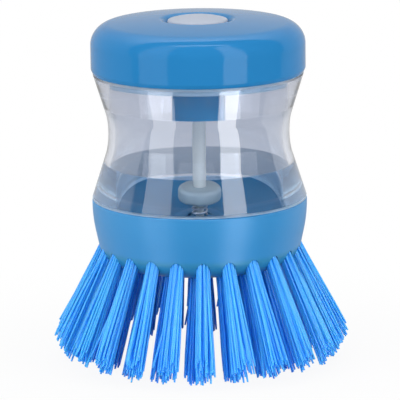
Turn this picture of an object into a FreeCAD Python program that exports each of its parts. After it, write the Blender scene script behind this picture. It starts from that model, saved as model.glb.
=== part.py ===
import FreeCAD, Part
import math
import os

os.makedirs("parts", exist_ok=True)

Vector = FreeCAD.Vector

# A palm-held dish brush with a soap reservoir, a push button and a sprung valve.
# Sizes are in millimetres. Z is up, and z 0 is the surface that the bristle tips stand on.

# Brush base
bristle_drop = 28.4
base_height = 18.1
base_rim_radius = 30.3
base_taper = 2.8
base_foot_round = 6.0
base_belly_drop = 5.0
base_belly_round = 38.0
lip_wall = 1.6
lip_round = 0.4
socket_depth = 5.0
floor_thickness = 7.6
floor_margin = 1.8
outlet_step = 1.05
outlet_depth = 4.0

# Tufts of bristles, each folded over an anchor in its own hole
tuft_root_radius = 1.95
tuft_tip_radius = 3.4
tuft_collar = 1.6
tuft_lobe_count = 7
tuft_lobe_depth = 0.22
tuft_lobe_crest = 0.25
hole_depth = 7.0
hole_fit = 0.05
outer_tuft_count = 24
outer_ring_outset = 0.1
outer_splay_angle = 25.0
outer_tuft_length = 29.5
outer_trim_angle = 34.0
inner_tuft_count = 18
ring_spacing = 7.3
inner_splay_angle = 18.0
inner_ring_angle = -4.2
anchor_height = 1.5
anchor_thickness = 0.35
anchor_fit = 0.05

# Clear reservoir
reservoir_height = 35.8
reservoir_wall = 2.0
foot_wall = 3.5
foot_setback = 0.1
foot_land = 0.6
socket_fit = 0.1
waist_inset = 5.19
waist_height = 18.7
waist_round = 20.0
shoulder_setback = 0.1
shoulder_edge = 0.5
neck_wall = 1.8
base_gasket_thickness = 1.0

# Screw cap with its button pocket and guide sleeve
cap_setback = 0.15
cap_edge_setback = 0.5
cap_edge_height = 1.1
cap_height = 15.1
cap_seat_gap = 0.3
cap_crown_radius = 250.0
cap_edge_round = 6.0
cap_top_wall = 4.4
skirt_wall = 2.8
thread_gap = 0.8
cap_gasket_thickness = 1.2
gasket_setback = 0.2
dish_round = 2.2
pocket_wall = 1.6
lip_thickness = 1.0
lip_hold = 0.6
sleeve_wall = 1.5
sleeve_drop = 11.6
sleeve_end = 1.6

# Push button
button_radius = 8.5
button_proud = 0.7
button_dome = 1.2
button_rim = 1.9
button_rim_round = 0.7
button_travel = 4.0
button_neck_radius = 5.0
button_collar = 2.0
button_stem_radius = 3.0
button_stem_length = 8.5
slide_gap = 0.3
stop_gap = 0.1

# Plunger and valve
stem_radius = 1.2
rod_step = 0.7
stem_fit = 0.1
push_fit = 0.03
disc_radius = 6.35
disc_thickness = 0.9
disc_skirt = 3.3
disc_round = 1.3
disc_spring_gap = 1.0
seat_wall = 1.2
seat_fit = 0.05
seat_flange_width = 1.9
seat_flange = 1.1
seat_lip = 0.4
port_gap = 0.95
hub_margin = 0.35
hub_length = 2.6
spoke_count = 3
spoke_width = 1.3
plug_overlap = 0.7
plug_thickness = 1.8
plug_bevel = 0.6
plug_gap = 0.05
stem_head_step = 0.6
stem_head = 0.8

# Springs
valve_spring_length = 8.0
valve_spring_gap = 0.6
valve_spring_wire = 0.6
valve_spring_turns = 5.5
button_spring_wire = 0.8
button_spring_turns = 6.0
spring_seat_gap = 0.02

# Most of a wall's length that a rounded corner may take
round_share = 0.95

# Points on each quarter turn at which a spring's gap to itself is measured
gap_samples = 6

# Heights that follow from the sizes above
underside_z = bristle_drop
rim_z = underside_z + base_height
socket_z = rim_z - socket_depth
floor_z = underside_z + floor_thickness
outlet_top_z = underside_z + outlet_depth
spigot_z = socket_z + base_gasket_thickness
shoulder_z = rim_z + reservoir_height
cap_z = shoulder_z + cap_seat_gap
apex_z = cap_z + cap_height
ceiling_z = apex_z - cap_top_wall
neck_top_z = ceiling_z - cap_gasket_thickness
sleeve_z = cap_z - sleeve_drop
sleeve_floor_z = sleeve_z + sleeve_end
button_rim_z = apex_z + button_proud - button_dome
button_under_z = button_rim_z - button_rim
pocket_floor_z = button_under_z - button_travel - slide_gap
lip_under_z = pocket_floor_z - lip_thickness
collar_top_z = lip_under_z - stop_gap
collar_z = collar_top_z - button_collar
button_stem_z = collar_z - button_stem_length
rod_top_z = button_stem_z - slide_gap
seat_top_z = floor_z + seat_flange
seat_bottom_z = outlet_top_z - seat_lip
disc_z = seat_top_z + valve_spring_length
disc_top_z = disc_z + disc_thickness
plug_top_z = seat_bottom_z - plug_gap
plug_z = plug_top_z - plug_thickness

# Radii that follow from the sizes above
base_foot_radius = base_rim_radius - base_taper
outer_ring_radius = base_foot_radius + outer_ring_outset
inner_ring_radius = outer_ring_radius - ring_spacing
socket_radius = base_rim_radius - lip_wall
spigot_radius = socket_radius - socket_fit
foot_bore = spigot_radius - foot_wall
foot_radius = base_rim_radius - foot_setback
cap_radius = base_rim_radius - cap_setback
cap_edge_radius = cap_radius - cap_edge_setback
shoulder_radius = cap_edge_radius - shoulder_setback
waist_radius = min(foot_radius, shoulder_radius) - waist_inset
skirt_bore = cap_radius - skirt_wall
neck_radius = skirt_bore - thread_gap
neck_bore = neck_radius - neck_wall
pocket_radius = button_radius + slide_gap
pocket_outer = pocket_radius + pocket_wall
lip_bore = button_neck_radius + slide_gap
sleeve_bore = lip_bore + lip_hold
sleeve_radius = sleeve_bore + sleeve_wall
collar_radius = sleeve_bore - slide_gap
rod_radius = stem_radius + rod_step
rod_hole = rod_radius + slide_gap
stem_head_radius = stem_radius + stem_head_step
valve_spring_radius = stem_radius + valve_spring_gap + valve_spring_wire / 2
hub_radius = valve_spring_radius + valve_spring_wire / 2 + hub_margin
port_radius = hub_radius + port_gap
plug_radius = port_radius + plug_overlap
seat_radius = port_radius + seat_wall
seat_flange_radius = seat_radius + seat_flange_width
seat_bore = seat_radius + seat_fit
outlet_radius = seat_bore + outlet_step
bowl_floor_radius = seat_flange_radius + floor_margin
button_spring_radius = (button_stem_radius + sleeve_bore) / 2


def upright(radius, height):
    return Vector(radius, 0, height)


def outline(corners):
    """A closed wire in the XZ plane. A corner is (radius, height), with a third value where it is
    rounded, as far as the walls beside it allow. A corner marked "via" is the middle of an arc between
    its neighbours."""
    places = [c for c in corners if c[0] != "via"]
    arcs = {}
    count = 0
    for corner in corners:
        if corner[0] == "via":
            arcs[count - 1] = upright(corner[1], corner[2])
        else:
            count += 1
    starts, ends, edges = [], [], []
    for i, corner in enumerate(places):
        here = upright(corner[0], corner[1])
        if len(corner) == 2:
            starts.append(here)
            ends.append(here)
            continue
        before = upright(*places[i - 1][:2]).sub(here)
        after = upright(*places[(i + 1) % count][:2]).sub(here)
        half = before.getAngle(after) / 2
        reach = min(corner[2] / math.tan(half), round_share * before.Length, round_share * after.Length)
        size = reach * math.tan(half)
        before, after = before.normalize(), after.normalize()
        inward = Vector(before).add(after).normalize()
        middle = here.add(inward.multiply(size / math.sin(half) - size))
        starts.append(here.add(before.multiply(reach)))
        ends.append(here.add(after.multiply(reach)))
        edges.append(Part.Arc(starts[-1], middle, ends[-1]).toShape())
    for i in range(count):
        head, tail = ends[i], starts[(i + 1) % count]
        if i in arcs:
            edges.append(Part.Arc(head, arcs[i], tail).toShape())
        else:
            edges.append(Part.LineSegment(head, tail).toShape())
    return Part.Wire(Part.__sortEdges__(edges))


def turned(corners):
    return Part.Face(outline(corners)).revolve(Vector(0, 0, 0), Vector(0, 0, 1), 360)


def round_edge(solid, radius, height, amount):
    """Rounds the circular edge of the given radius that lies nearest to the given height."""
    rings = [e for e in solid.Edges if not e.Degenerated and isinstance(e.Curve, Part.Circle)]
    ring = min(rings, key=lambda e: abs(e.Curve.Radius - radius) + abs(e.Curve.Center.z - height))
    return solid.makeFillet(amount, [ring])


def export(shape, name):
    shape.exportStep("parts/" + name + ".step")


# Brush base


def foot_surface(radius):
    """Height of the rounded foot of the base at a radius outside the flat underside."""
    taper = math.atan2(base_rim_radius - base_foot_radius, base_height - base_belly_drop)
    reach = base_foot_round * math.tan((math.pi / 2 - taper) / 2)
    centre = base_foot_radius - reach
    if radius <= centre:
        return underside_z
    return underside_z + base_foot_round - math.sqrt(base_foot_round ** 2 - (radius - centre) ** 2)


def tuft_lean(radius, splay):
    """Placement of the tuft over the X axis. Its own Z axis runs outward along the bristles, from the
    mouth of its hole."""
    mouth = upright(radius, foot_surface(radius))
    return FreeCAD.Placement(mouth, FreeCAD.Rotation(Vector(0, 1, 0), 180 - splay))


def ring_turns(name, count, first):
    """Name of every tuft in a ring, and its turn about the brush's axis."""
    turns = []
    for i in range(count):
        turn = FreeCAD.Rotation(Vector(0, 0, 1), first - 90 + i * 360 / count)
        turns.append(("%s_%02d" % (name, i + 1), FreeCAD.Placement(Vector(0, 0, 0), turn)))
    return turns


outer_lean = tuft_lean(outer_ring_radius, outer_splay_angle)
inner_lean = tuft_lean(inner_ring_radius, inner_splay_angle)
outer_turns = ring_turns("outer_tuft", outer_tuft_count, 0.0)
inner_turns = ring_turns("inner_tuft", inner_tuft_count, inner_ring_angle)
tuft_places = [turn * outer_lean for name, turn in outer_turns]
tuft_places += [turn * inner_lean for name, turn in inner_turns]


def tuft_hole(place):
    hole = Part.makeCylinder(tuft_root_radius + hole_fit, hole_depth + base_foot_round)
    hole.translate(Vector(0, 0, -hole_depth))
    hole.Placement = place * hole.Placement
    return hole


def brush_base():
    body = turned([
        (outlet_radius, underside_z),
        (base_foot_radius, underside_z, base_foot_round),
        (base_rim_radius, rim_z - base_belly_drop, base_belly_round),
        (base_rim_radius, rim_z, lip_round),
        (socket_radius, rim_z),
        (socket_radius, socket_z),
        (foot_bore, socket_z),
        (bowl_floor_radius, floor_z),
        (seat_bore, floor_z),
        (seat_bore, outlet_top_z),
        (outlet_radius, outlet_top_z)])
    return body.cut([tuft_hole(place) for place in tuft_places])


def anchor_block():
    """The flat staple at the bottom of a hole, which pins the fold of its tuft."""
    corner = Vector(-anchor_thickness / 2, -tuft_root_radius, -hole_depth)
    return Part.makeBox(anchor_thickness, 2 * tuft_root_radius, anchor_height, corner)


def lobed_section(radius, height):
    """The outline of a bundle of strands: flat-topped lobes, whose depth is a share of the radius."""
    corners = ((0.5, 1 - tuft_lobe_depth), (1 - tuft_lobe_crest, 1.0), (1 + tuft_lobe_crest, 1.0))
    points = []
    for i in range(tuft_lobe_count):
        for share, reach in corners:
            angle = (i + share) * 2 * math.pi / tuft_lobe_count
            out = radius * reach
            points.append(Vector(out * math.cos(angle), out * math.sin(angle), height))
    return Part.makePolygon(points + points[:1])


def tuft():
    """A bundle in its hole, which flares from the hole's mouth and opens into strands."""
    inner_reach = bristle_drop / math.cos(math.radians(inner_splay_angle)) + 2 * tuft_tip_radius
    length = max(outer_tuft_length + 2 * tuft_tip_radius, inner_reach)
    flare = (tuft_tip_radius - tuft_root_radius) / (outer_tuft_length - tuft_collar)
    fold = anchor_height + anchor_fit - hole_depth
    sections = [lobed_section(tuft_root_radius, fold),
                lobed_section(tuft_root_radius, tuft_collar),
                lobed_section(tuft_root_radius + flare * (length - tuft_collar), length)]
    return Part.makeLoft(sections, True, True)


def outer_tuft():
    """Outer tufts are cut at a slant, shorter on their outer side."""
    span = 4 * base_rim_radius
    cutter = Part.makeBox(span, span, span, Vector(-span / 2, -span / 2, 0))
    slant = FreeCAD.Rotation(Vector(0, 1, 0), -outer_trim_angle)
    cutter.Placement = FreeCAD.Placement(Vector(0, 0, outer_tuft_length), slant)
    bundle = tuft().cut(cutter)
    bundle.Placement = outer_lean
    return bundle


def inner_tuft():
    """Inner tufts are cut level with the surface they stand on."""
    span = 4 * base_rim_radius
    cutter = Part.makeBox(span, span, span, Vector(-span / 2, -span / 2, -span))
    bundle = tuft()
    bundle.Placement = inner_lean
    return bundle.cut(cutter)


def tuft_anchors():
    blocks = []
    for place in tuft_places:
        block = anchor_block()
        block.Placement = place * block.Placement
        blocks.append(block)
    return Part.makeCompound(blocks)


# Reservoir and its seals


def meeting(point, way, other, other_way):
    """Where two lines in the XZ plane cross."""
    gap = other.sub(point)
    along = (gap.x * other_way.z - gap.z * other_way.x) / (way.x * other_way.z - way.z * other_way.x)
    return point.add(Vector(way).multiply(along))


def clear_reservoir():
    foot = upright(foot_radius, rim_z + foot_land)
    shoulder = upright(shoulder_radius, shoulder_z - shoulder_edge)
    waist = upright(waist_radius, rim_z + waist_height)
    rise = waist.sub(foot).normalize()
    fall = waist.sub(shoulder).normalize()
    inner_foot = foot.add(Vector(-rise.z, 0, rise.x).multiply(reservoir_wall))
    inner_shoulder = shoulder.add(Vector(fall.z, 0, -fall.x).multiply(reservoir_wall))
    inner_waist = meeting(inner_foot, rise, inner_shoulder, fall)
    foot_step = meeting(inner_foot, rise, upright(foot_bore, rim_z), Vector(0, 0, 1))
    neck_step = meeting(inner_shoulder, fall, upright(neck_bore, rim_z), Vector(0, 0, 1))
    return turned([
        (foot_bore, spigot_z),
        (spigot_radius, spigot_z),
        (spigot_radius, rim_z),
        (foot_radius, rim_z),
        (foot.x, foot.z),
        (waist.x, waist.z, waist_round),
        (shoulder.x, shoulder.z),
        (shoulder_radius, shoulder_z),
        (neck_radius, shoulder_z),
        (neck_radius, neck_top_z),
        (neck_bore, neck_top_z),
        (neck_step.x, neck_step.z),
        (inner_waist.x, inner_waist.z, waist_round + reservoir_wall),
        (foot_step.x, foot_step.z)])


def flat_ring(inner, outer, low, high):
    return turned([(inner, low), (outer, low), (outer, high), (inner, high)])


# Cap and button


def crown_height(radius):
    return apex_z - cap_crown_radius + math.sqrt(cap_crown_radius ** 2 - radius ** 2)


def screw_cap():
    middle = (cap_radius + pocket_radius) / 2
    cap = turned([
        (skirt_bore, cap_z),
        (cap_edge_radius, cap_z),
        (cap_radius, cap_z + cap_edge_height),
        (cap_radius, crown_height(cap_radius)),
        ("via", middle, crown_height(middle)),
        (pocket_radius, crown_height(pocket_radius)),
        (pocket_radius, pocket_floor_z),
        (lip_bore, pocket_floor_z),
        (lip_bore, lip_under_z),
        (sleeve_bore, lip_under_z),
        (sleeve_bore, sleeve_floor_z),
        (rod_hole, sleeve_floor_z),
        (rod_hole, sleeve_z),
        (sleeve_radius, sleeve_z),
        (sleeve_radius, pocket_floor_z - pocket_wall),
        (pocket_outer, pocket_floor_z - pocket_wall),
        (pocket_outer, ceiling_z),
        (skirt_bore, ceiling_z)])
    cap = round_edge(cap, cap_radius, crown_height(cap_radius), cap_edge_round)
    return round_edge(cap, pocket_radius, crown_height(pocket_radius), dish_round)


def push_button():
    dome_radius = (button_radius ** 2 + button_dome ** 2) / (2 * button_dome)
    middle = button_radius / 2
    middle_z = button_rim_z + button_dome - dome_radius + math.sqrt(dome_radius ** 2 - middle ** 2)
    button = turned([
        (0, button_stem_z),
        (button_stem_radius, button_stem_z),
        (button_stem_radius, collar_z),
        (collar_radius, collar_z),
        (collar_radius, collar_top_z),
        (button_neck_radius, collar_top_z),
        (button_neck_radius, button_under_z),
        (button_radius, button_under_z),
        (button_radius, button_rim_z),
        ("via", middle, middle_z),
        (0, button_rim_z + button_dome)])
    return round_edge(button, button_radius, button_rim_z, button_rim_round)


# Plunger and valve


def plunger_rod():
    return turned([
        (0, plug_z - stem_head),
        (stem_head_radius, plug_z - stem_head),
        (stem_head_radius, plug_z),
        (stem_radius, plug_z),
        (stem_radius, disc_top_z),
        (rod_radius, disc_top_z),
        (rod_radius, rod_top_z),
        (0, rod_top_z)])


def spring_disc():
    """A cup over the valve spring, which presses against its roof."""
    bore = stem_radius + push_fit
    cup_bore = valve_spring_radius + valve_spring_wire / 2 + disc_spring_gap
    return turned([
        (bore, disc_z),
        (cup_bore, disc_z),
        (cup_bore, disc_z - disc_skirt),
        (disc_radius, disc_z - disc_skirt, disc_round),
        (disc_radius, disc_top_z, disc_round),
        (bore, disc_top_z)])


def valve_seat():
    """A bush in the floor of the base: a spoked hub guides the stem, and the soap runs between the
    spokes to the ring that the plug closes."""
    ring = turned([
        (port_radius, seat_bottom_z),
        (seat_radius, seat_bottom_z),
        (seat_radius, floor_z),
        (seat_flange_radius, floor_z),
        (seat_flange_radius, seat_top_z),
        (port_radius, seat_top_z)])
    hub = flat_ring(stem_radius + stem_fit, hub_radius, seat_top_z - hub_length, seat_top_z)
    bridge = (hub_radius + stem_radius + stem_fit) / 2
    reach = (port_radius + seat_radius) / 2 - bridge
    spokes = []
    for i in range(spoke_count):
        corner = Vector(bridge, -spoke_width / 2, seat_top_z - hub_length)
        spoke = Part.makeBox(reach, spoke_width, hub_length, corner)
        spoke.rotate(Vector(0, 0, 0), Vector(0, 0, 1), i * 360 / spoke_count)
        spokes.append(spoke)
    return ring.fuse([hub] + spokes).removeSplitter()


def valve_plug():
    bore = stem_radius + push_fit
    return turned([
        (bore, plug_z),
        (plug_radius - plug_bevel, plug_z),
        (plug_radius, plug_z + plug_bevel),
        (plug_radius, plug_top_z),
        (bore, plug_top_z)])


# Springs


def coil_point(angle, radius, low, pitch):
    return Vector(radius * math.cos(angle), radius * math.sin(angle), low + pitch * angle / (2 * math.pi))


def coil_direction(angle, radius, pitch):
    way = Vector(-radius * math.sin(angle), radius * math.cos(angle), pitch / (2 * math.pi))
    return way.normalize()


def arc_beside(head, corner, tail):
    """The arc from head to tail that is tangent there to the lines from the corner."""
    chord_middle = head.add(tail).multiply(0.5)
    half_chord = tail.sub(head).Length / 2
    turn = 2 * math.acos(half_chord / head.sub(corner).Length)
    bulge = corner.sub(chord_middle).normalize().multiply(half_chord * math.tan(turn / 4))
    return Part.Arc(head, chord_middle.add(bulge), tail).toShape()


def biarc(head, head_way, tail, tail_way):
    """Two arcs from head to tail that meet smoothly and follow the given directions at the ends."""
    span = tail.sub(head)
    both = span.dot(head_way.add(tail_way))
    apart = 2 * (1 - head_way.dot(tail_way))
    reach = (-both + math.sqrt(both ** 2 + apart * span.dot(span))) / apart
    first = head.add(Vector(head_way).multiply(reach))
    second = tail.sub(Vector(tail_way).multiply(reach))
    joint = first.add(second).multiply(0.5)
    return [arc_beside(head, first, joint), arc_beside(joint, second, tail)]


def coil_spring(name, radius, wire, turns, low, high):
    """A compression spring wound as one tube, in quarter turns, between two heights."""
    start_z = low + wire / 2 + spring_seat_gap
    pitch = (high - low - wire - 2 * spring_seat_gap) / turns
    steps = round(turns * 4)
    step = turns * 2 * math.pi / steps
    edges = []
    for i in range(steps):
        a, b = i * step, (i + 1) * step
        edges += biarc(coil_point(a, radius, start_z, pitch), coil_direction(a, radius, pitch),
                       coil_point(b, radius, start_z, pitch), coil_direction(b, radius, pitch))
    path = Part.Wire(edges)
    section = Part.Circle(coil_point(0, radius, start_z, pitch), coil_direction(0, radius, pitch), wire / 2)
    tube = path.makePipeShell([Part.Wire(section.toShape())], True, False)
    count = steps * gap_samples
    points = [coil_point(i * step / gap_samples, radius, start_z, pitch) for i in range(count + 1)]
    gaps = [a.sub(b).Length for i, a in enumerate(points) for b in points[i + 2 * gap_samples:]]
    print(name, "least gap to itself", round(min(gaps) - wire, 3), "mm")
    return tube


# Every piece, in its own file

for bundle, turns in ((outer_tuft(), outer_turns), (inner_tuft(), inner_turns)):
    for tuft_name, turn in turns:
        turned_bundle = bundle.copy()
        turned_bundle.Placement = turn * bundle.Placement
        export(turned_bundle, tuft_name)

export(brush_base(), "brush_base")
export(tuft_anchors(), "tuft_anchors")
export(clear_reservoir(), "clear_reservoir")
export(flat_ring(foot_bore, spigot_radius, socket_z, spigot_z), "base_gasket")
export(screw_cap(), "screw_cap")
export(flat_ring(neck_bore + gasket_setback, neck_radius - gasket_setback, neck_top_z, ceiling_z),
       "cap_gasket")
export(push_button(), "push_button")
export(coil_spring("button_spring", button_spring_radius, button_spring_wire, button_spring_turns,
                   sleeve_floor_z, collar_z), "button_spring")
export(plunger_rod(), "plunger_rod")
export(spring_disc(), "spring_disc")
export(coil_spring("valve_spring", valve_spring_radius, valve_spring_wire, valve_spring_turns,
                   seat_top_z, disc_z), "valve_spring")
export(valve_seat(), "valve_seat")
export(valve_plug(), "valve_plug")
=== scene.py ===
import math
import random

import bmesh
import bpy
from mathutils import Matrix, Vector


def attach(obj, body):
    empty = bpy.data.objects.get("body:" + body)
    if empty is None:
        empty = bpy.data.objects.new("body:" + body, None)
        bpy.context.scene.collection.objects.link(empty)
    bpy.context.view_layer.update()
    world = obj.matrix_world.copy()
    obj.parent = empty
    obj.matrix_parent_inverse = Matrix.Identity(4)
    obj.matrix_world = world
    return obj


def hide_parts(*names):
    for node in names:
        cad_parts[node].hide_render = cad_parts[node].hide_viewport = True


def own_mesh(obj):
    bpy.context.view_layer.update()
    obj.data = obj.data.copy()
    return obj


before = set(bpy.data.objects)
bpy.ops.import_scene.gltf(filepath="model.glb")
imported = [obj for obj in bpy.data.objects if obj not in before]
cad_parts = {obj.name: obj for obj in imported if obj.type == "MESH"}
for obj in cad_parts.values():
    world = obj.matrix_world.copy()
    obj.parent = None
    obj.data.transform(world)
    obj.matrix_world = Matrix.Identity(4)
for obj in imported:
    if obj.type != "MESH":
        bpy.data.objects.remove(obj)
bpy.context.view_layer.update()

scene = bpy.context.scene

# Sizes of pieces are in millimetres, as in the part's drawing, and become metres in the mesh.
MM = 0.001

# Heights of the base and the reservoir, from the surface that the bristles stand on
UNDERSIDE = 28.4
OUTER_MOUTH = 31.02
SPIGOT = 42.5
RIM = 46.5
FOOT_LAND = 47.1
FOOT_STEP = 56.39
WAIST = 65.2
NECK_STEP = 73.15
SHOULDER_EDGE = 82.0
SHOULDER = 82.52
NECK_THREAD = 84.2
NECK_TOP = 92.1

# Heights of the cap
SLEEVE_END = 71.0
SLEEVE_FLOOR = 72.6
PLUG_RING = 80.4
CAP_EDGE = 82.6
CAP_SIDE = 83.7
CAP_THREAD = 86.7
POCKET_UNDER = 89.4
LIP_UNDER = 90.0
POCKET_FLOOR = 91.0
CEILING = 93.3
APEX = 97.7

# Heights of the button
BUTTON_STEM = 79.4
COLLAR = 87.9
COLLAR_TOP = 89.9
BUTTON_UNDER = 95.3
BUTTON_RIM = 97.2
BUTTON_TOP = 98.4

# Heights of the plunger and the valve
STEM_END = 29.35
PLUG = 30.15
PLUG_BEVEL = 0.6
PLUG_TOP = 31.95
SEAT_TOP = 37.1
DISC = 41.8
DISC_ROOF = 45.1
DISC_TOP = 46.0
ROD_TOP = 79.1

# Radii of the reservoir
FOOT_RADIUS = 30.2
FOOT_BORE = 25.1
SPIGOT_RADIUS = 28.6
WAIST_RADIUS = 24.36
WAIST_BORE = 22.26
WAIST_CURVE = 20.0
WAIST_BORE_CURVE = 22.0
SHOULDER_RADIUS = 29.55
NECK_RADIUS = 26.55
NECK_BORE = 24.75

# Radii of the cap
SKIRT_BORE = 27.35
CAP_EDGE_RADIUS = 29.65
CAP_RADIUS = 30.15
CAP_CURVE = 6.0
CROWN_RADIUS = 250.0
CROWN_STEPS = (21.0, 17.0, 13.0)
PLUG_RING_OUTER = 24.5
PLUG_RING_INNER = 23.1
POCKET_OUTER = 10.4
POCKET_RADIUS = 8.8
POCKET_CURVE = 2.2
SLEEVE_RADIUS = 7.4
SLEEVE_BORE = 5.9
LIP_BORE = 5.3
ROD_HOLE = 2.2

# Radii of the button
BUTTON_RADIUS = 8.5
BUTTON_CURVE = 0.7
BUTTON_SPHERE = 30.7
BUTTON_STEPS = (6.4, 4.3, 2.1, 0)
COLLAR_RADIUS = 5.6
BUTTON_NECK = 5.0
BUTTON_STEM_RADIUS = 3.0

# Radii of the plunger
ROD_RADIUS = 1.9
ROD_END = 1.8
ROD_PIN = 1.2
ROD_GRIP = 1.23
DISC_RADIUS = 6.35
DISC_CURVE = 1.3
DISC_BORE = 3.4
PLUG_RADIUS = 4.4
PLUG_FOOT = 3.8

# Rounded edges of the moulded pieces, from the sharpest to the softest
PLUG_LIP = 0.1
FOOT_EDGE = 0.15
CRISP = 0.2
EDGE = 0.3
SOFT = 0.4
RING_EDGE = 0.5
FILLET = 0.6

# Springs and threads
COIL_PLAY = 0.02
COIL_STEPS = 24
WIRE_SEGMENTS = 10
THREAD_LEAD = 5.0
THREAD_STEPS = 96
THREAD_BITE = 0.1
THREAD_DEPTH = 0.55
THREAD_FOOT = 0.8
THREAD_CREST = 0.35

# Seals are this much proud of the solids
BED = 0.05

TURN_STEPS = 144
SHARP_ANGLE = math.radians(28)
BRISTLE_SHARP_ANGLE = math.radians(75)


# Shader maths


class Value:
    """A socket of a material's nodes. Python's operators on it add Math nodes."""

    def __init__(self, finish, socket):
        self.finish = finish
        self.socket = socket

    def __add__(self, other):
        return self.finish.math("ADD", self, other)

    __radd__ = __add__

    def __mul__(self, other):
        return self.finish.math("MULTIPLY", self, other)

    __rmul__ = __mul__

    def __sub__(self, other):
        return self.finish.math("SUBTRACT", self, other)

    def __rsub__(self, other):
        return self.finish.math("SUBTRACT", other, self)


class Finish:
    """A material, or the world, whose nodes are added one by one."""

    def __init__(self, owner):
        owner.use_nodes = True
        self.owner = owner
        self.tree = owner.node_tree
        self.tree.nodes.clear()

    def add(self, kind, settings=None, sockets=None, output=0):
        """Adds a node: its settings first, then the values or links of its sockets."""
        node = self.tree.nodes.new(kind)
        for name, setting in (settings or {}).items():
            setattr(node, name, setting)
        for name, value in (sockets or {}).items():
            if isinstance(value, Value):
                self.tree.links.new(value.socket, node.inputs[name])
            else:
                node.inputs[name].default_value = value
        return Value(self, node.outputs[output]) if node.outputs else node

    def math(self, operation, first, second):
        return self.add("ShaderNodeMath", {"operation": operation}, {0: first, 1: second})

    def between(self, factor, low, high):
        return factor * (high - low) + low

    def place(self):
        return self.add("ShaderNodeTexCoord", output="Object")

    def axis(self, vector, name):
        return self.add("ShaderNodeSeparateXYZ", {}, {0: vector}, name)

    def length(self, vector):
        return self.add("ShaderNodeVectorMath", {"operation": "LENGTH"}, {0: vector}, "Value")

    def noise(self, scale, detail):
        return self.add("ShaderNodeTexNoise", {}, {"Vector": self.place(), "Scale": scale, "Detail": detail})

    def attribute(self, name):
        return self.add("ShaderNodeAttribute", {"attribute_name": name}, output="Fac")

    def mix(self, factor, first, second):
        return self.add("ShaderNodeMix", {"data_type": "RGBA"}, {
            "Factor": factor, 6: first, 7: second}, output=2)

    def smooth(self, value, low, high, start=0.0, end=1.0):
        return self.add("ShaderNodeMapRange", {"interpolation_type": "SMOOTHSTEP"}, {
            "Value": value, "From Min": low, "From Max": high, "To Min": start, "To Max": end})

    def bump(self, height, strength, distance):
        return self.add("ShaderNodeBump", {}, {
            "Height": height, "Strength": strength, "Distance": distance})

    def ray(self, kind):
        return self.add("ShaderNodeLightPath", output=kind)

    def principled(self, sockets):
        return self.add("ShaderNodeBsdfPrincipled", {}, sockets)

    def mix_shader(self, factor, first, second):
        return self.add("ShaderNodeMixShader", {}, {0: factor, 1: first, 2: second})

    def let_through(self, shader, colour, sockets=None):
        """The finish of a clear or translucent piece, whose shadow is tinted light."""
        clear = self.add("ShaderNodeBsdfTransparent", {}, {"Color": colour})
        return self.surface(self.mix_shader(self.ray("Is Shadow Ray"), shader, clear), sockets)

    def surface(self, shader, sockets=None):
        kind = "ShaderNodeOutputMaterial"
        if isinstance(self.owner, bpy.types.World):
            kind = "ShaderNodeOutputWorld"
        self.add(kind, {}, {"Surface": shader, **(sockets or {})})
        return self.owner


def new_finish(name):
    return Finish(bpy.data.materials.new(name))


def opaque(red, green, blue):
    return (red, green, blue, 1.0)


WHITE = opaque(1.0, 1.0, 1.0)

# The painted shade of the base's bowl, a darker colour near the axis, meets the rim's colour between these
# radii.
BOWL_RADIUS = 28.4
RIM_RADIUS = 28.8

# The reservoir's lilac cast deepens between these heights.
CAST_START = 60.0
CAST_FULL = 72.0

# The roughness that haze and a matt edge add to the reservoir
CLEAR_HAZE = 0.04
MATT_ROUGHNESS = 0.5


def gloss_plastic(name, colour, deep, low_roughness, high_roughness, index, bowl_shade=None):
    """Moulded plastic: faint flow marks in the colour, handling haze and a little orange peel. A bowl shade
    is
    painted shade: a darker colour near the axis, inside the reservoir."""
    finish = new_finish(name)
    flow = finish.noise(scale=38.0, detail=3.0)
    haze = finish.noise(scale=420.0, detail=4.0)
    peel = finish.noise(scale=900.0, detail=2.0)
    shade = finish.mix(flow, colour, deep)
    if bowl_shade:
        # Painted shade: the bowl near the axis gets a darker colour, which fades out towards the rim.
        level = finish.add("ShaderNodeVectorMath", {"operation": "MULTIPLY"}, {
            0: finish.place(), 1: (1.0, 1.0, 0.0)})
        edge = finish.smooth(finish.length(level), BOWL_RADIUS * MM, RIM_RADIUS * MM)
        shade = finish.mix(edge, bowl_shade, shade)
    return finish.surface(finish.principled({
        "Base Color": shade,
        "Roughness": finish.between(haze, low_roughness, high_roughness),
        "Normal": finish.bump(peel, strength=0.05, distance=0.0002),
        "IOR": index}))


def satin_plastic(name, colour, deep, index=1.49):
    finish = new_finish(name)
    flow = finish.noise(scale=60.0, detail=3.0)
    grain = finish.noise(scale=2400.0, detail=3.0)
    return finish.surface(finish.principled({
        "Base Color": finish.mix(flow, colour, deep),
        "Roughness": finish.between(grain, low=0.28, high=0.44),
        "Normal": finish.bump(grain, strength=0.08, distance=0.0001),
        "IOR": index}))


def clear_plastic():
    """Clear plastic with a lilac cast, deeper above the waist, faint haze and the slow ripple of a moulded
    wall. The edges of the shoulder and the foot are matt. Lamps shine through it."""
    finish = new_finish("clear_plastic")
    haze = finish.noise(scale=160.0, detail=3.0)
    ripple = finish.noise(scale=70.0, detail=1.0)
    upper = finish.smooth(finish.axis(finish.place(), "Z"), CAST_START * MM, CAST_FULL * MM)
    wall = finish.principled({
        "Base Color": finish.mix(upper, opaque(0.730, 0.763, 0.830), opaque(0.692, 0.723, 0.792)),
        "Roughness": haze * CLEAR_HAZE + finish.attribute("matt") * MATT_ROUGHNESS,
        "Normal": finish.bump(ripple, strength=0.03, distance=0.0004),
        "Transmission Weight": 1.0,
        "Coat Weight": 0.4,
        "IOR": 1.44})
    depth = finish.add("ShaderNodeVolumeAbsorption", {}, {
        "Color": opaque(0.50, 0.525, 0.65), "Density": 34.0})
    return finish.let_through(wall, opaque(0.85, 0.87, 0.92), {"Volume": depth})


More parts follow.
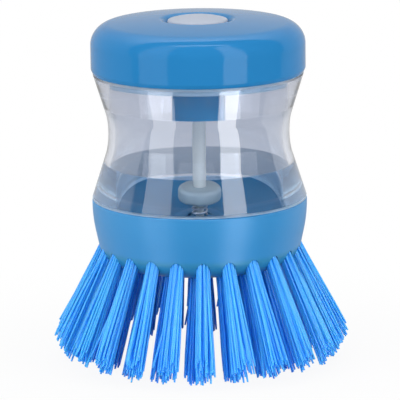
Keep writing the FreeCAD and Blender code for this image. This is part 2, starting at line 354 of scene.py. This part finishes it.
def bristle_nylon():
    """Nylon filament: each one has its own tint, the inner ring's is darker as painted shade, the root is
    darker than the tip as painted shade under the base, and blue light gets through it."""
    finish = new_finish("bristle_nylon")
    streak = finish.noise(scale=700.0, detail=2.0)
    body = finish.mix(finish.attribute("tint_and_painted_shade"), opaque(0.006, 0.24, 1.0), opaque(0.056, 0.49, 1.0))
    # Painted shade at the roots, under the base.
    shade = finish.mix(finish.attribute("root_shade_fade"), opaque(0.020, 0.34, 1.0), body)
    strand = finish.principled({
        "Base Color": shade,
        "Roughness": finish.between(streak, low=0.28, high=0.43),
        "Subsurface Weight": 0.3,
        "Subsurface Radius": (0.0003, 0.0006, 0.0012),
        "Subsurface Scale": 1.0,
        "IOR": 1.5})
    return finish.let_through(strand, opaque(0.30, 0.76, 1.0))


def drawn_metal(name, colour, bright, low_roughness, high_roughness):
    """Wire or strip, with the fine marks of the die it was drawn through."""
    finish = new_finish(name)
    marks = finish.noise(scale=1500.0, detail=3.0)
    return finish.surface(finish.principled({
        "Base Color": finish.mix(marks, colour, bright),
        "Metallic": 1.0,
        "Roughness": finish.between(marks, low_roughness, high_roughness)}))


def soft_seal():
    finish = new_finish("soft_seal")
    cloud = finish.noise(scale=300.0, detail=3.0)
    return finish.surface(finish.principled({
        "Base Color": finish.mix(cloud, opaque(0.52, 0.78, 0.94), opaque(0.60, 0.84, 0.97)),
        "Roughness": finish.between(cloud, low=0.5, high=0.7)}))


CAP_BLUE = gloss_plastic("cap_blue", opaque(0.019, 0.194, 0.46), opaque(0.022, 0.212, 0.49),
                         low_roughness=0.05, high_roughness=0.11, index=1.21)
# Painted light: the sleeve is the cap's own blue made lighter, though it is the same plastic, in shade
# inside the reservoir.
SLEEVE_PAINTED_LIGHT_BLUE = gloss_plastic("sleeve_painted_light_blue", opaque(0.026, 0.30, 0.58), opaque(0.030, 0.32, 0.61),
                            low_roughness=0.08, high_roughness=0.14, index=1.3)
# The base's bowl colour is painted shade, for the dim light inside the reservoir.
BASE_BLUE = gloss_plastic("base_blue", opaque(0.022, 0.240, 0.54), opaque(0.027, 0.256, 0.57),
                          low_roughness=0.30, high_roughness=0.42, index=1.45,
                          bowl_shade=opaque(0.019, 0.225, 0.43))
PALE_GREY = satin_plastic("pale_grey", opaque(0.385, 0.43, 0.525), opaque(0.41, 0.455, 0.545), index=1.3)
NATURAL = satin_plastic("natural_plastic", opaque(0.62, 0.655, 0.615), opaque(0.665, 0.69, 0.645))
DISC_GREY = satin_plastic("disc_grey", opaque(0.39, 0.48, 0.49), opaque(0.425, 0.51, 0.52))
CLEAR = clear_plastic()
NYLON = bristle_nylon()
WIRE = drawn_metal("spring_wire", opaque(0.66, 0.68, 0.70), opaque(0.82, 0.83, 0.84),
                   low_roughness=0.28, high_roughness=0.48)
SEAL = soft_seal()
BRASS = drawn_metal("anchor_brass", opaque(0.62, 0.44, 0.16), opaque(0.75, 0.57, 0.25),
                    low_roughness=0.22, high_roughness=0.42)


# Pieces


def piece(name, bm, material, body, nodes=(), sharp=SHARP_ANGLE, others=()):
    """Puts a finished bmesh in the scene, on its body and in place of its CAD nodes."""
    mesh = bpy.data.meshes.new(name)
    bm.to_mesh(mesh)
    bm.free()
    mesh.shade_smooth()
    mesh.set_sharp_from_angle(angle=sharp)
    for finish in (material, *others):
        mesh.materials.append(finish)
    thing = bpy.data.objects.new(name, mesh)
    scene.collection.objects.link(thing)
    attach(thing, body)
    if nodes:
        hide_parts(*nodes)
    return thing


def round_segments(radius):
    """Enough flats for a rounded corner to look smooth."""
    for limit, flats in ((0.5, 4), (2.0, 8), (10.0, 16)):
        if radius < limit:
            return flats
    return 28


def turned_mesh(corners, steps=TURN_STEPS):
    """A solid of revolution. A corner is (radius, height), with a third value where it is rounded."""
    bm = bmesh.new()
    ring = [bm.verts.new((corner[0] * MM, 0, corner[1] * MM)) for corner in corners]
    for head, tail in zip(ring, ring[1:] + ring[:1]):
        if head.co.x > 0 or tail.co.x > 0:
            bm.edges.new((head, tail))
    for number, corner in enumerate(corners):
        if len(corner) == 3:
            here = Vector(corner[:2])
            before = Vector(corners[number - 1][:2]) - here
            after = Vector(corners[(number + 1) % len(corners)][:2]) - here
            reach = corner[2] / math.tan(before.angle(after) / 2)
            bmesh.ops.bevel(bm, geom=[ring[number]], offset=reach * MM, offset_type="OFFSET",
                            segments=round_segments(corner[2]), profile=0.5, affect="VERTICES", material=-1)
    bmesh.ops.spin(bm, geom=bm.verts[:] + bm.edges[:], cent=(0, 0, 0), axis=(0, 0, 1),
                   angle=2 * math.pi, steps=steps, use_merge=True)
    bmesh.ops.remove_doubles(bm, verts=bm.verts, dist=1e-6)
    bmesh.ops.recalc_face_normals(bm, faces=bm.faces)
    return bm


def dome(radius, top, sphere):
    """Height of a shallow dome at a radius."""
    return top - sphere + math.sqrt(sphere ** 2 - radius ** 2)


def crown(radius):
    return dome(radius, APEX, CROWN_RADIUS)


def face_middle(face):
    """A face's distance from the axis and its height, in millimetres."""
    middle = face.calc_center_median() / MM
    return math.hypot(middle.x, middle.y), middle.z


def screw_cap():
    """Its plug ring has the pale look of a soft seal, and its sleeve has painted light: the shell's blue
    made lighter, for the shade it sits in.
    """
    bm = turned_mesh([
        (SKIRT_BORE, CAP_EDGE), (CAP_EDGE_RADIUS, CAP_EDGE, CRISP), (CAP_RADIUS, CAP_SIDE, FILLET),
        (CAP_RADIUS, crown(CAP_RADIUS), CAP_CURVE), *[(radius, crown(radius)) for radius in CROWN_STEPS],
        (POCKET_RADIUS, crown(POCKET_RADIUS), POCKET_CURVE), (POCKET_RADIUS, POCKET_FLOOR),
        (LIP_BORE, POCKET_FLOOR), (LIP_BORE, LIP_UNDER), (SLEEVE_BORE, LIP_UNDER),
        (SLEEVE_BORE, SLEEVE_FLOOR), (ROD_HOLE, SLEEVE_FLOOR), (ROD_HOLE, SLEEVE_END),
        (SLEEVE_RADIUS, SLEEVE_END, EDGE), (SLEEVE_RADIUS, POCKET_UNDER, FILLET),
        (POCKET_OUTER, POCKET_UNDER, SOFT), (POCKET_OUTER, CEILING, SOFT),
        (PLUG_RING_INNER, CEILING, SOFT), (PLUG_RING_INNER, PLUG_RING, RING_EDGE),
        (PLUG_RING_OUTER, PLUG_RING, RING_EDGE), (PLUG_RING_OUTER, CEILING),
        (SKIRT_BORE, CEILING, SOFT)])
    for face in bm.faces:
        outside, height = face_middle(face)
        if PLUG_RING_INNER - BED < outside < PLUG_RING_OUTER + BED and height < CEILING:
            face.material_index = 1
        if outside < SLEEVE_RADIUS + BED and height < POCKET_UNDER:
            face.material_index = 2
    others = [SEAL, SLEEVE_PAINTED_LIGHT_BLUE]
    piece("screw_cap_shell", bm, CAP_BLUE, "cap", ["screw_cap"], others=others)


def push_button():
    top = [(radius, dome(radius, BUTTON_TOP, BUTTON_SPHERE)) for radius in BUTTON_STEPS]
    bm = turned_mesh([
        (0, BUTTON_STEM), (BUTTON_STEM_RADIUS, BUTTON_STEM, SOFT), (BUTTON_STEM_RADIUS, COLLAR),
        (COLLAR_RADIUS, COLLAR, CRISP), (COLLAR_RADIUS, COLLAR_TOP, CRISP), (BUTTON_NECK, COLLAR_TOP),
        (BUTTON_NECK, BUTTON_UNDER), (BUTTON_RADIUS, BUTTON_UNDER, CRISP),
        (BUTTON_RADIUS, BUTTON_RIM, BUTTON_CURVE), *top])
    piece("push_button_head", bm, PALE_GREY, "button", ["push_button"])


# The reservoir's flare starts this far from its edges, which are matt outside these radii.
LAND_STEP = 0.4
MATT_SHOULDER = 28.8
MATT_FOOT = 29.8

# Its seals keep this far from its walls.
WALL_MARGIN = 0.2


def outer_flare(height, radius, edge):
    """A point on the straight outside of the wall, between its waist and one of its edges."""
    share = (height - WAIST) / (edge - WAIST)
    return (WAIST_RADIUS + share * (radius - WAIST_RADIUS), height)


def reservoir():
    """Its spigot is bedded in sealant, down in the base, and its shoulder has a seal under the cap."""
    bm = turned_mesh([
        (FOOT_BORE, SPIGOT + BED), (SPIGOT_RADIUS, SPIGOT + BED, CRISP), (SPIGOT_RADIUS, RIM + BED),
        (FOOT_RADIUS, RIM + BED, FOOT_EDGE), (FOOT_RADIUS, FOOT_LAND, EDGE),
        outer_flare(FOOT_LAND + LAND_STEP, FOOT_RADIUS, FOOT_LAND), (WAIST_RADIUS, WAIST, WAIST_CURVE),
        outer_flare(SHOULDER_EDGE - LAND_STEP, SHOULDER_RADIUS, SHOULDER_EDGE),
        (SHOULDER_RADIUS, SHOULDER_EDGE, CRISP), (SHOULDER_RADIUS, SHOULDER, CRISP),
        (NECK_RADIUS, SHOULDER, EDGE), (NECK_RADIUS, NECK_TOP, EDGE), (NECK_BORE, NECK_TOP, EDGE),
        (NECK_BORE, NECK_STEP, FILLET), (WAIST_BORE, WAIST, WAIST_BORE_CURVE),
        (FOOT_BORE, FOOT_STEP, FILLET)], steps=192)
    matt = bm.verts.layers.float.new("matt")
    for vert in bm.verts:
        outside = math.hypot(vert.co.x, vert.co.y) / MM
        height = vert.co.z / MM
        at_shoulder = outside > MATT_SHOULDER and height > SHOULDER_EDGE - BED
        at_foot = outside > MATT_FOOT and height < FOOT_LAND + BED
        vert[matt] = 1.0 if at_shoulder or at_foot else 0.0
    for face in bm.faces:
        outside, height = face_middle(face)
        bedded = height < RIM + 2 * BED and outside > FOOT_BORE + WALL_MARGIN
        under_cap = abs(height - SHOULDER) < BED and outside > NECK_RADIUS + WALL_MARGIN
        face.material_index = 1 if bedded or under_cap else 0
    nodes = ["clear_reservoir"]
    piece("reservoir_shell", bm, CLEAR, "root", nodes, others=[SEAL])


def plunger():
    rod = turned_mesh([
        (0, STEM_END), (ROD_END, STEM_END, CRISP), (ROD_END, PLUG), (ROD_PIN, PLUG), (ROD_PIN, DISC_TOP),
        (ROD_RADIUS, DISC_TOP), (ROD_RADIUS, ROD_TOP, EDGE), (0, ROD_TOP)], steps=48)
    piece("rod_shaft", rod, NATURAL, "plunger", ["plunger_rod"])
    disc = turned_mesh([
        (ROD_GRIP, DISC_ROOF), (DISC_BORE, DISC_ROOF, EDGE), (DISC_BORE, DISC, EDGE),
        (DISC_RADIUS, DISC, DISC_CURVE), (DISC_RADIUS, DISC_TOP, DISC_CURVE),
        (ROD_GRIP, DISC_TOP)], steps=96)
    piece("rod_disc", disc, DISC_GREY, "plunger", ["spring_disc"])
    plug = turned_mesh([
        (ROD_GRIP, PLUG), (PLUG_FOOT, PLUG, EDGE), (PLUG_RADIUS, PLUG + PLUG_BEVEL, EDGE),
        (PLUG_RADIUS, PLUG_TOP, PLUG_LIP), (ROD_GRIP, PLUG_TOP)], steps=64)
    piece("soft_plug", plug, SEAL, "plunger", ["valve_plug"])


def wind(bm, turns, rise, turn_steps):
    """Spins a flat outline round the brush's axis, with a rise for each turn."""
    steps = round(turns * turn_steps)
    bmesh.ops.spin(bm, geom=bm.faces[:] + bm.edges[:] + bm.verts[:], cent=(0, 0, 0), axis=(0, 0, 1),
                   dvec=(0, 0, rise * turns / steps * MM), angle=turns * 2 * math.pi, steps=steps)
    bmesh.ops.recalc_face_normals(bm, faces=bm.faces)


def coil(name, radius, wire, turns, low, high, body, node):
    """A wire ring wound upwards, with a mesh of its own."""
    bm = bmesh.new()
    start = low + wire / 2 + COIL_PLAY
    rise = (high - low - wire - 2 * COIL_PLAY) / turns
    lean = math.atan2(rise, 2 * math.pi * radius)
    upright = Matrix.Rotation(math.pi / 2 + lean, 4, "X")
    bmesh.ops.create_circle(bm, cap_ends=True, segments=WIRE_SEGMENTS, radius=wire / 2 * MM,
                            matrix=Matrix.Translation((radius * MM, 0, start * MM)) @ upright)
    wind(bm, turns, rise, COIL_STEPS)
    spring = piece(name, bm, WIRE, body, [node])
    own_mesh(spring)


def thread_rib(name, wall, crest, low, turns, material, body):
    """A screw thread's rib, from just inside the wall that carries it out to its crest."""
    bm = bmesh.new()
    corners = ((wall, low - THREAD_FOOT), (crest, low - THREAD_CREST), (crest, low + THREAD_CREST),
               (wall, low + THREAD_FOOT))
    bm.faces.new([bm.verts.new((radius * MM, 0, height * MM)) for radius, height in corners])
    wind(bm, turns, THREAD_LEAD, THREAD_STEPS)
    piece(name, bm, material, body)


# Bristles

FILAMENTS = 42
FILAMENT_RADIUS = 0.37
FILAMENT_SEGMENTS = 6
FILAMENT_CUTS = 4
HALF_LENGTH = 0.5
NEAR_TIP = 0.99
TIP_TAPER = 0.7
GOLDEN_TURN = math.pi * (3 - math.sqrt(5))

# A tuft's radii at the mouth of its hole and at its tips, and how deep and how ragged its bristles are
ROOT_RADIUS = 1.62
TIP_RADIUS = 3.1
ROOT_DEPTH = 3.0
RAGGED = 2.8
RAGGED_POWER = 1.5

# What differs from tuft to tuft, in degrees, and from bristle to bristle
SPLAY_PLAY = 0.6
TILT_PLAY = 0.9
ANGLE_PLAY = 0.3
LEAST_FLARE = 0.85
MOST_FLARE = 1.08
TIP_PLAY = 0.22
BOW_PLAY = 0.15
STRAY_SHARE = 0.05
STRAY_INWARD = 0.8
STRAY_AROUND = 2.4
STRAY_BOW = 3
LEAST_TINT = 0.5

# Painted shade at the roots, under the base: the root's share of the tip's colour, and how fast the rest
# comes along the bristle
ROOT_PAINTED_SHADE = 0.3
COLOUR_RISE = 3.0


def filament_template():
    """One upright filament, a unit long, with a narrowed tip."""
    bm = bmesh.new()
    bmesh.ops.create_cone(bm, cap_ends=True, segments=FILAMENT_SEGMENTS, radius1=1, radius2=1, depth=1,
                          matrix=Matrix.Translation((0, 0, HALF_LENGTH)))
    sides = [edge for edge in bm.edges if abs(edge.verts[0].co.z - edge.verts[1].co.z) > HALF_LENGTH]
    bmesh.ops.subdivide_edges(bm, edges=sides, cuts=FILAMENT_CUTS, use_grid_fill=True)
    tip = [vert for vert in bm.verts if vert.co.z > NEAR_TIP]
    bmesh.ops.scale(bm, vec=(TIP_TAPER, TIP_TAPER, 1.0), verts=tip)
    return bm


def tuft_frame(radius, height, splay, azimuth):
    """A tuft's own axes: Z along the bristles from the mouth of its hole, X towards the brush's middle."""
    spin = Matrix.Rotation(math.radians(azimuth), 4, "Z")
    lean = Matrix.Rotation(math.pi - math.radians(splay), 4, "Y")
    return spin @ Matrix.Translation((radius * MM, 0, height * MM)) @ lean


def sideways(draw, inward, around):
    """A random step across a tuft's axis."""
    return Vector((draw.gauss(0, inward), draw.gauss(0, around), 0))


class Filament:
    """The line of one bristle in its tuft's own axes. The trimmed tips lie at length plus slope times the
    distance inward."""

    def __init__(self, number, length, slope, draw):
        angle = number * GOLDEN_TURN + draw.uniform(-ANGLE_PLAY, ANGLE_PLAY)
        share = math.sqrt((number + 0.5) / FILAMENTS)
        toward = Vector((math.cos(angle), math.sin(angle), 0))
        self.length = length
        self.root = toward * ROOT_RADIUS * share
        self.tip = toward * TIP_RADIUS * share * draw.uniform(LEAST_FLARE, MOST_FLARE)
        self.tip += sideways(draw, TIP_PLAY, TIP_PLAY)
        self.bow = sideways(draw, BOW_PLAY, BOW_PLAY)
        if draw.random() < STRAY_SHARE:
            self.tip += sideways(draw, STRAY_INWARD, STRAY_AROUND)
            self.bow = self.bow * STRAY_BOW
        widening = self.tip.x - self.root.x
        trimmed = (length + slope * self.root.x) / (1 - slope * widening / length)
        self.reach = trimmed - RAGGED * draw.random() ** RAGGED_POWER

    def point(self, unit):
        """Where a point of the upright filament goes, and how far along the bristle that is."""
        depth = unit.z * (self.reach + ROOT_DEPTH) - ROOT_DEPTH
        share = max(depth, 0) / self.length
        centre = self.root.lerp(self.tip, share) + self.bow * 4 * share * (1 - share)
        inward = centre.x + unit.x * FILAMENT_RADIUS
        around = centre.y + unit.y * FILAMENT_RADIUS
        return Vector((inward, around, depth)), share


def bristle_ring(name, nodes, radius, height, splay, first, length, slope, painted_light_level, draw):
    """A ring of flared tufts, one for each of its CAD nodes."""
    bm = bmesh.new()
    tint_and_painted_shade = bm.verts.layers.float.new("tint_and_painted_shade")
    root_shade_fade = bm.verts.layers.float.new("root_shade_fade")
    pattern = filament_template()
    template = bpy.data.meshes.new("filament")
    pattern.to_mesh(template)
    shape = [vert.co.copy() for vert in pattern.verts]
    pattern.free()
    for tuft in range(len(nodes)):
        azimuth = first - 90 + tuft * 360 / len(nodes)
        place = tuft_frame(radius, height, splay + draw.gauss(0, SPLAY_PLAY), azimuth)
        place = place @ Matrix.Rotation(math.radians(draw.gauss(0, TILT_PLAY)), 4, "X")
        for number in range(FILAMENTS):
            filament = Filament(number, length, slope, draw)
            # A filament's own random tint, times its ring's painted light level.
            shade = painted_light_level * draw.uniform(LEAST_TINT, 1.0)
            first_vert = len(bm.verts)
            bm.from_mesh(template)
            bm.verts.ensure_lookup_table()
            for vert, unit in zip(bm.verts[first_vert:], shape):
                local, share = filament.point(unit)
                vert.co = place @ (local * MM)
                vert[tint_and_painted_shade] = shade
                # Painted shade at the root, fading out along the bristle.
                vert[root_shade_fade] = min(1.0, ROOT_PAINTED_SHADE + COLOUR_RISE * share)
    bpy.data.meshes.remove(template)
    piece(name, bm, NYLON, "root", nodes, BRISTLE_SHARP_ANGLE)


def ring_nodes(name, count):
    return ["%s_%02d" % (name, number + 1) for number in range(count)]


screw_cap()
push_button()
reservoir()
plunger()
coil("valve_coil", radius=2.1, wire=0.6, turns=5.5, low=SEAT_TOP, high=DISC_ROOF,
     body="root", node="valve_spring")
coil("button_coil", radius=4.45, wire=0.8, turns=6.0, low=SLEEVE_FLOOR, high=COLLAR,
     body="cap", node="button_spring")
thread_rib("neck_thread", NECK_RADIUS - THREAD_BITE, NECK_RADIUS + THREAD_DEPTH, low=NECK_THREAD, turns=1.2,
           material=CLEAR, body="root")
thread_rib("cap_thread", SKIRT_BORE + THREAD_BITE, SKIRT_BORE - THREAD_DEPTH, low=CAP_THREAD, turns=0.9,
           material=CAP_BLUE, body="cap")

OUTER_SPLAY = 25.0
OUTER_TRIM = 34.0
INNER_SPLAY = 18.0
INNER_REACH = UNDERSIDE / math.cos(math.radians(INNER_SPLAY))
bristle_draw = random.Random(7)
bristle_ring("outer_bristles", ring_nodes("outer_tuft", 24), radius=27.6, height=OUTER_MOUTH,
             splay=OUTER_SPLAY, first=0.0, length=29.5, slope=math.tan(math.radians(OUTER_TRIM)),
             painted_light_level=1.0, draw=bristle_draw)
# The inner ring is painted at 0.6 of the outer ring's colour: painted shade for the shadow of the outer
# ring.
bristle_ring("inner_bristles", ring_nodes("inner_tuft", 18), radius=20.3, height=UNDERSIDE,
             splay=INNER_SPLAY, first=-4.2, length=INNER_REACH, slope=-math.tan(math.radians(INNER_SPLAY)),
             painted_light_level=0.6, draw=bristle_draw)

for node, material in (("brush_base", BASE_BLUE), ("base_gasket", SEAL), ("cap_gasket", SEAL),
                       ("valve_seat", BASE_BLUE), ("tuft_anchors", BRASS)):
    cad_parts[node].data.materials.clear()
    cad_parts[node].data.materials.append(material)


# Studio

# Light from all round on matt surfaces
PLAIN_LIGHT = 0.44

# What gloss mirrors: a bright panel behind, turned and leant a little, that grows towards the top
PANEL_TURN = 0.2
PANEL_LEAN = 0.26
PANEL_EDGE = 0.04
FRONT_DARK = 0.05
OVERHEAD_GLOW = 8.0
RISING_GLOW = 0.4
LEVEL_GLOW = 0.65

# A bright bar overhead, just in front of the brush, that draws the line along the cap's shoulder
BAR_FRONT = (-0.34, -0.26)
BAR_BACK = (-0.22, -0.14)
BAR_RISE = (0.87, 0.95)
BAR_GLOW = 11.0

# The floor in metres, with the shadow right under the brush and the blue shade seen through the reservoir
FLOOR_RADIUS = 6.0
FLOOR_DROP = 0.0002
CONTACT_SHADE = 0.92
CONTACT_REACH = (0.03, 0.13)
THROUGH_REACH = (0.12, 0.30)
THROUGH_SHADE = opaque(0.31, 0.39, 0.47)
PAPER = opaque(0.8, 0.8, 0.8)

# Lamps in metres
LAMP_HEIGHT = 0.39
LAMP_AIM = (0, 0, LAMP_HEIGHT)
SIDE_BOX_DISTANCE = 0.85
CARD_DISTANCE = 0.8

# The camera, in millimetres and degrees
CAMERA_STAND = (0.08, -1000, 259.0)
CAMERA_TURN = -1.4
CAMERA_DIP = 12.05
CAMERA_ROLL = -0.67
CAMERA_LENS = 325.7
CAMERA_SENSOR = 36.0


def studio_world():
    """White behind the brush, dark in front for reflections, and plain soft light for the rest."""
    finish = Finish(bpy.data.worlds.new("studio"))
    view = finish.ray("Is Camera Ray") + finish.ray("Is Transmission Ray")
    mirrored = finish.ray("Is Glossy Ray")
    way = finish.add("ShaderNodeTexCoord", output="Generated")
    across = finish.axis(way, "X")
    back = finish.axis(way, "Y")
    up = finish.axis(way, "Z")
    above = finish.math("MAXIMUM", up, 0.0)
    square = above * above
    overhead = square * square * square
    panel = finish.smooth(back - across * PANEL_TURN - up * PANEL_LEAN, -PANEL_EDGE, PANEL_EDGE, FRONT_DARK)
    glow = overhead * OVERHEAD_GLOW + up * RISING_GLOW + LEVEL_GLOW
    panel = panel * glow * (across * across + 1.0)
    bar = finish.smooth(back, *BAR_FRONT) - finish.smooth(back, *BAR_BACK)
    mirror = panel + bar * finish.smooth(up, *BAR_RISE, end=BAR_GLOW)
    strength = view + (1 - view) * (mirrored * mirror + (1 - mirrored) * PLAIN_LIGHT)
    light = finish.add("ShaderNodeBackground", {}, {"Color": WHITE, "Strength": strength})
    scene.world = finish.surface(light)


def studio_floor():
    """White paper that keeps the brush's shadow. Nothing of it is seen from below."""
    bm = bmesh.new()
    bmesh.ops.create_circle(bm, cap_ends=True, segments=96, radius=FLOOR_RADIUS)
    mesh = bpy.data.meshes.new("floor")
    bm.to_mesh(mesh)
    bm.free()
    finish = new_finish("floor_white")
    distance = finish.length(finish.place())
    through = finish.ray("Is Transmission Ray")
    seen = finish.ray("Is Camera Ray") * finish.smooth(distance, *CONTACT_REACH, start=CONTACT_SHADE)
    shadow = through * finish.smooth(distance, *THROUGH_REACH, start=1.0, end=0.0)
    white = finish.add("ShaderNodeEmission", {}, {"Color": finish.mix(shadow, WHITE, THROUGH_SHADE)})
    paper = finish.add("ShaderNodeBsdfDiffuse", {}, {"Color": PAPER})
    shader = finish.mix_shader(seen + through, paper, white)
    below = finish.add("ShaderNodeNewGeometry", output="Backfacing")
    nothing = finish.add("ShaderNodeBsdfTransparent")
    mesh.materials.append(finish.surface(finish.mix_shader(below, shader, nothing)))
    floor = bpy.data.objects.new("floor", mesh)
    floor.location.z = -FLOOR_DROP
    floor.visible_glossy = False
    scene.collection.objects.link(floor)


def softbox(name, spot, aim, width, height, radiance, mirrored=False):
    """A rectangular lamp that lights the brush, or, mirrored, a bright card that shows in its gloss."""
    lamp = bpy.data.lights.new(name, "AREA")
    lamp.shape = "RECTANGLE"
    lamp.size = width
    lamp.size_y = height
    lamp.energy = radiance * math.pi * width * height
    thing = bpy.data.objects.new(name, lamp)
    thing.location = spot
    thing.rotation_euler = (Vector(spot) - Vector(aim)).to_track_quat("Z", "Y").to_euler()
    thing.visible_camera = False
    thing.visible_diffuse = not mirrored
    thing.visible_glossy = mirrored
    scene.collection.objects.link(thing)


def beside(azimuth, distance, height):
    """A spot round the brush. Azimuth 0 is the camera's side."""
    turn = math.radians(azimuth)
    return (distance * math.sin(turn), -distance * math.cos(turn), height)


def photo_camera():
    """Stands where the photograph was taken from, looking down a little."""
    lens = bpy.data.cameras.new("camera")
    lens.sensor_width = CAMERA_SENSOR
    lens.lens = CAMERA_LENS
    lens.clip_start = 0.05
    camera = bpy.data.objects.new("camera", lens)
    turn = Matrix.Rotation(math.radians(CAMERA_TURN), 4, "Z")
    stand = Matrix.Translation([step * MM for step in CAMERA_STAND])
    tilt = Matrix.Rotation(math.radians(90 - CAMERA_DIP), 4, "X")
    roll = Matrix.Rotation(math.radians(CAMERA_ROLL), 4, "Z")
    camera.matrix_world = turn @ stand @ tilt @ roll
    scene.collection.objects.link(camera)
    scene.camera = camera


studio_world()
studio_floor()
for side, azimuth in (("left", -62), ("right", 62)):
    softbox(side + "_softbox", beside(azimuth, SIDE_BOX_DISTANCE, LAMP_HEIGHT), LAMP_AIM,
            width=0.5, height=2.4, radiance=2.2)
softbox("front_softbox", beside(azimuth=-5, distance=1.05, height=0.65), aim=(0, 0, 0.05),
        width=1.0, height=1.0, radiance=1.3)
softbox("top_softbox", spot=(0, 0.1, 1.2), aim=(0, 0, 0), width=1.0, height=1.0, radiance=0.8)
for side, azimuth, width, radiance in (("left", -50, 0.47, 2.9), ("right", 38, 0.37, 6.0)):
    softbox(side + "_card", beside(azimuth, CARD_DISTANCE, LAMP_HEIGHT), LAMP_AIM,
            width=width, height=2.33, radiance=radiance, mirrored=True)
photo_camera()

scene.view_settings.view_transform = "Standard"
